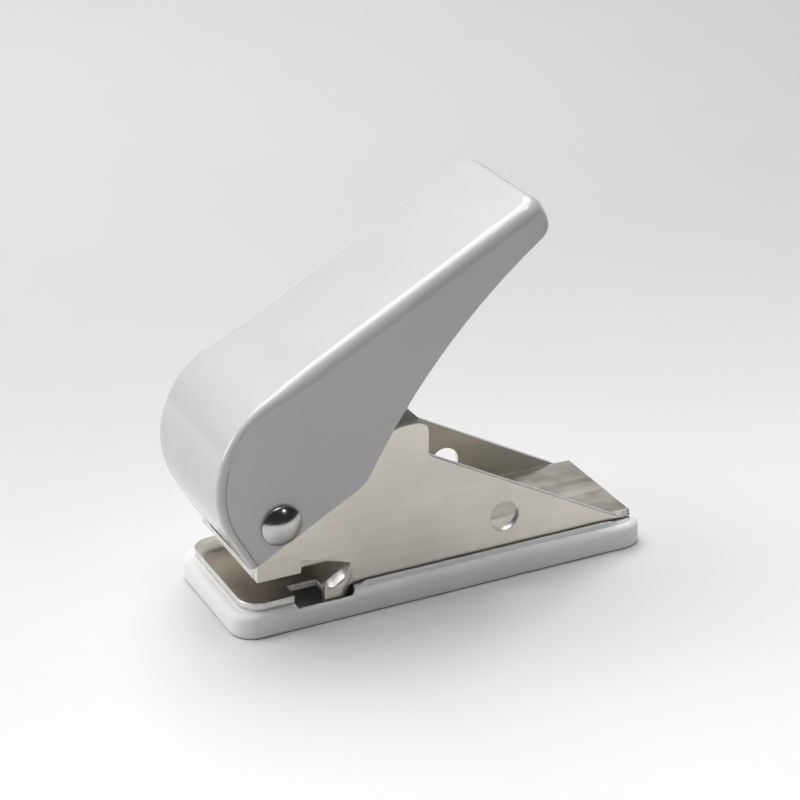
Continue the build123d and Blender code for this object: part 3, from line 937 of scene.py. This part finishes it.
def make_lever():
    """The pressed shell: an outer and an inner skin, joined by a rounded cut edge."""
    belly = rounded(BELLY, closed=False, step=radians(2))
    grid = lever_grid(belly)
    rear, side = lever_rear(grid, belly)
    border = [row[0] for row in reversed(grid)] + grid[0][1:-1] + [row[-1] for row in grid]
    border += [line[-1] for line in reversed(rear[1:-1])]
    find_outward(border)
    if border[len(grid) + 10].outward.z > 0:
        for point in border:
            point.outward = -point.outward
    work = bmesh.new()

    def skin(offset):
        """One side of the sheet, offset inwards. Returns the vertex of each point."""
        made = {}

        def vertex(point):
            if point not in made:
                dent = point.dent if offset == 0 else 0
                spot = point.place - (offset + dent) * point.normal - LEVER_CUT * point.outward
                made[point] = work.verts.new(from_lever(spot))
            return made[point]

        for lines in (grid, rear):
            for a, b in zip(lines, lines[1:]):
                for k in range(len(a) - 1):
                    work.faces.new([vertex(point) for point in (a[k], b[k], b[k + 1], a[k + 1])])
        top = grid[-1][side - 1:len(grid[-1]) - side + 1] + [line[0] for line in reversed(rear[1:-1])]
        work.faces.new([vertex(point) for point in top])
        return made

    outer, inner = skin(0), skin(LEVER_SHEET)
    rows = [[outer[point] for point in border]]
    for level, first, second in ((LEVER_CUT, 0, pi / 2), (LEVER_SHEET - LEVER_CUT, pi / 2, pi)):
        for angle in spread(first, second, 3):
            if angle in (0, pi):
                continue
            rows.append([work.verts.new(from_lever(
                point.place - level * point.normal - LEVER_CUT * point.outward
                + LEVER_CUT * (cos(angle) * point.normal + sin(angle) * point.outward)
            )) for point in border])
    rows.append([inner[point] for point in border])
    for a, b in zip(rows, rows[1:]):
        for k in range(len(border)):
            face = work.faces.new((a[k - 1], a[k], b[k], b[k - 1]))
            face.material_index = 1
    reach = LEVER_HALF + 2
    shank = lathe([(0, -reach), (PIVOT_HOLE, -reach), (PIVOT_HOLE, reach), (0, reach)])
    work = bore(work, place(shank, across_pivot))
    return make("lever", work, "lever", "lever_shell", [ENAMEL, EDGE_ENAMEL_PAINTED_HIGHLIGHT], sharp=50)


def finish_bracket():
    """The press bracket keeps its CAD shape and takes a plated finish."""
    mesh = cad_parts["press_bracket"].data
    mesh.materials.clear()
    mesh.materials.append(ZINC)


# ---- Stage ----

def make_camera():
    """Camera in front of the near side, looking down on it a little."""
    data = bpy.data.cameras.new("camera")
    data.lens = 111.3
    data.sensor_width = 36.0
    data.clip_start = 0.01
    camera = bpy.data.objects.new("camera", data)
    bpy.context.scene.collection.objects.link(camera)
    eye = Vector((-214.8, -428.9, 267.2)) * MM
    aim = Vector((-3.43, 0.0, 39.23)) * MM
    camera.location = eye
    camera.rotation_euler = (aim - eye).to_track_quat("-Z", "Y").to_euler()
    bpy.context.scene.camera = camera


def area_light(name, spot, aim, size, power, beam=180):
    """Rectangular soft box. A beam under 180 degrees keeps its light together."""
    data = bpy.data.lights.new(name, "AREA")
    data.shape = "RECTANGLE"
    data.size, data.size_y = size
    data.energy = power
    data.spread = radians(beam)
    light = bpy.data.objects.new(name, data)
    light.location = spot
    light.rotation_euler = (Vector(aim) - Vector(spot)).to_track_quat("-Z", "Y").to_euler()
    bpy.context.scene.collection.objects.link(light)


def make_stage():
    """Pale floor, soft boxes and a grey surround."""
    work = bmesh.new()
    bmesh.ops.create_grid(work, x_segments=1, y_segments=1, size=3.0)
    mesh = bpy.data.meshes.new("floor")
    work.to_mesh(mesh)
    work.free()
    mesh.materials.append(floor_finish())
    floor = bpy.data.objects.new("floor", mesh)
    bpy.context.scene.collection.objects.link(floor)
    world = bpy.data.worlds.new("surround")
    world.use_nodes = True
    background = world.node_tree.nodes["Background"]
    background.inputs["Color"].default_value = (0.95, 0.97, 1.0, 1)
    background.inputs["Strength"].default_value = 0.04
    bpy.context.scene.world = world
    target = (0, 0, 0.03)
    area_light("overhead", (-0.1, 0.42, 0.9), target, (1.2, 0.7), 12.0)
    area_light("near floor", (0.05, -0.2, 0.55), (0.05, -0.2, 0), (1.3, 0.45), 1.05, 40)
    area_light("front left", (-0.95, 0.42, 0.3), target, (0.7, 0.4), 3.8)
    area_light("horizon", (0.9, 1.1, 0.12), target, (2.2, 0.25), 2.0)
    area_light("glint", (0.45, -0.75, 0.8), target, (0.14, 0.14), 0.35)


make_foot()
make_chassis()
make_guide()
make_die()
make_pivot()
make_pin()
make_clip()
make_pin_washers()
make_spring()
make_lever()
finish_bracket()
make_camera()
make_stage()
bpy.context.scene.view_settings.view_transform = "Standard"
